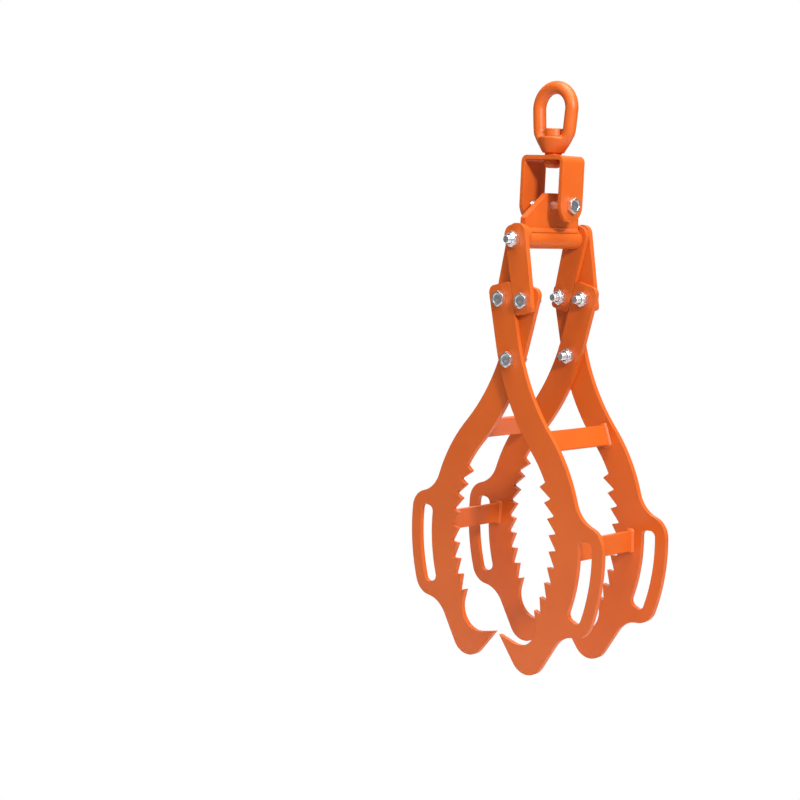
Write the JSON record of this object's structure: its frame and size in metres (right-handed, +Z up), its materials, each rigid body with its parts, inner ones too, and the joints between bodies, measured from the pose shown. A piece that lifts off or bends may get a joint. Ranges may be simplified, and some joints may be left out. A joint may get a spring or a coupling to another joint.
{
  "type": "log grapple",
  "caption": "Scissor log grapple with toothed hooked claws, link plates, a clevis bracket and a swivel lifting eye, closing on a log as it is lifted.",
  "frame": {"origin": "point inside the swivel eye where a hook or shackle bears, on the mid-plane between the claws", "axes": "+Z up along the swivel, X across the jaw from the left claws to the right claws, -Y towards the front pair of claws"},
  "size_m": [0.3184, 0.1464, 0.7102],
  "materials": {
    "orange_paint": "gloss",
    "zinc_fastener": "bright zinc",
    "nylon_insert": "satin"
  },
  "bodies": {
    "eye": {"swivel_eye": "orange_paint"},
    "bracket": {"swivel_pin": "orange_paint", "swivel_washer": "orange_paint", "clevis_bracket": "orange_paint"},
    "clevis": {"clevis_bolt": "zinc_fastener", "clevis_nut": "zinc_fastener", "clevis_nut_insert": "nylon_insert"},
    "hanger": {"hanger_plate": "orange_paint", "hanger_tube": "orange_paint", "hanger_welds": "orange_paint", "top_pivot_bolt": "zinc_fastener", "top_pivot_nut": "zinc_fastener", "top_pivot_nut_insert": "nylon_insert"},
    "left_links": {"link_front_left": "orange_paint", "link_back_left": "orange_paint", "link_left_bolts": "zinc_fastener", "link_left_nuts": "zinc_fastener", "link_left_nut_inserts": "nylon_insert"},
    "right_links": {"link_front_right": "orange_paint", "link_back_right": "orange_paint", "link_right_bolts": "zinc_fastener", "link_right_nuts": "zinc_fastener", "link_right_nut_inserts": "nylon_insert"},
    "left_claws": {"claw_front_left": "orange_paint", "claw_back_left": "orange_paint", "crossbar_upper_left": "orange_paint", "crossbar_lower_left": "orange_paint", "crossbar_welds_left": "orange_paint"},
    "right_claws": {"claw_front_right": "orange_paint", "claw_back_right": "orange_paint", "crossbar_upper_right": "orange_paint", "crossbar_lower_right": "orange_paint", "crossbar_welds_right": "orange_paint", "main_pivot_bolts": "zinc_fastener", "main_pivot_nuts": "zinc_fastener", "main_pivot_nut_inserts": "nylon_insert"}
  },
  "joints": [
    {"name": "swivel", "type": "hinge", "parent": "eye", "child": "bracket", "pos_m": [0, 0, -0.06], "axis": [0, 0, 1], "continuous": true},
    {"name": "clevis_swing", "type": "hinge", "parent": "bracket", "child": "clevis", "pos_m": [0, 0, -0.132], "axis": [1, 0, 0], "range_deg": [-75, 75]},
    {"name": "hanger_slide", "type": "slide", "parent": "clevis", "child": "hanger", "axis": [1, 0, 0], "range_m": [-0.022, 0.022]},
    {"name": "grapple_swing", "type": "hinge", "parent": "hanger", "child": "left_links", "pos_m": [0, 0, -0.174], "axis": [0, 1, 0], "range_deg": [-30, 90]},
    {"name": "jaw_opening", "type": "hinge", "parent": "left_links", "child": "right_links", "pos_m": [0, 0, -0.174], "axis": [0, -1, 0], "range_deg": [0, 60]},
    {"name": "right_claw_swing", "type": "hinge", "parent": "left_links", "child": "right_claws", "pos_m": [-0.0179, 0, -0.2458], "axis": [0, -1, 0], "range_deg": [0, 60]},
    {"name": "left_claw_swing", "type": "hinge", "parent": "right_links", "child": "left_claws", "pos_m": [0.0179, 0, -0.2458], "axis": [0, 1, 0], "range_deg": [0, 60]}
  ],
  "couplings": [
    {"joint": "right_claw_swing", "follows": "jaw_opening", "ratio": 1},
    {"joint": "left_claw_swing", "follows": "jaw_opening", "ratio": 1}
  ]
}
